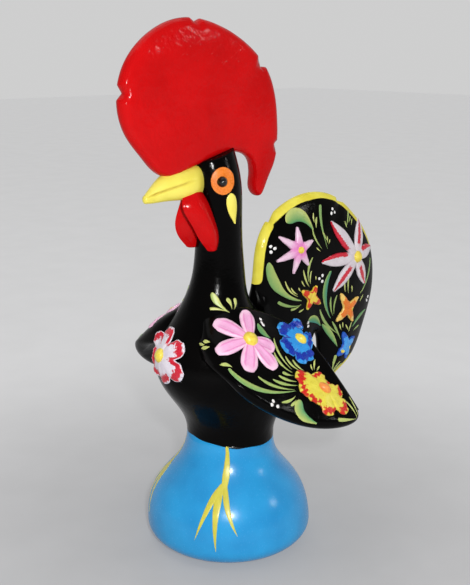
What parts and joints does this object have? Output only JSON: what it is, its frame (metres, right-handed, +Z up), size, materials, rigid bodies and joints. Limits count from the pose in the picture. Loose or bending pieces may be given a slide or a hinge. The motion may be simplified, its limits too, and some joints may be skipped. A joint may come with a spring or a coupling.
{
  "type": "painted clay rooster ornament",
  "caption": "Painted clay rooster on a hollow bell-shaped foot, with a tall round comb, spread wings, an upright fan tail and applied flowers; a folk ornament for a shelf.",
  "frame": {"origin": "centre of the foot's flat underside", "axes": "+Z up through the foot and neck; the bird faces -Y and its left side is +X"},
  "size_m": [0.1902, 0.2577, 0.3998],
  "materials": {
    "blue_paint": "gloss enamel over fired clay",
    "black_paint": "gloss enamel over fired clay",
    "red_paint": "gloss enamel over fired clay",
    "pale_yellow_paint": "gloss enamel over fired clay",
    "orange_paint": "gloss enamel over fired clay",
    "yellow_paint": "gloss enamel over fired clay",
    "pink_paint": "gloss enamel over fired clay",
    "flower_blue_paint": "gloss enamel over fired clay",
    "white_paint": "gloss enamel over fired clay"
  },
  "bodies": {
    "root": {"bell_foot": "blue_paint", "body_shell": "black_paint", "head_shell": "black_paint", "comb": "red_paint", "beak": "pale_yellow_paint", "wattle_left": "red_paint", "wattle_right": "red_paint", "eye_left": "orange_paint", "eye_right": "orange_paint", "pupil_left": "black_paint", "pupil_right": "black_paint", "wing_left": "black_paint", "wing_right": "black_paint", "tail": "black_paint", "breast_flower": "white_paint", "breast_bead": "yellow_paint", "shoulder_flower_left": "pink_paint", "shoulder_flower_right": "pink_paint", "shoulder_bead_left": "yellow_paint", "shoulder_bead_right": "yellow_paint", "wing_flower_left": "flower_blue_paint", "wing_flower_right": "flower_blue_paint", "wing_bead_left": "yellow_paint", "wing_bead_right": "yellow_paint", "wing_tip_flower_left": "yellow_paint", "wing_tip_flower_right": "yellow_paint", "wing_tip_bead_left": "orange_paint", "wing_tip_bead_right": "orange_paint", "tail_star_left": "pink_paint", "tail_star_right": "pink_paint", "tail_star_bead_left": "yellow_paint", "tail_star_bead_right": "yellow_paint", "tail_daisy_left": "white_paint", "tail_daisy_right": "white_paint", "tail_daisy_bead_left": "yellow_paint", "tail_daisy_bead_right": "yellow_paint", "tail_small_front_left": "yellow_paint", "tail_small_front_right": "yellow_paint", "tail_small_rear_left": "orange_paint", "tail_small_rear_right": "orange_paint", "tail_small_low_left": "flower_blue_paint", "tail_small_low_right": "flower_blue_paint"}
  },
  "joints": []
}
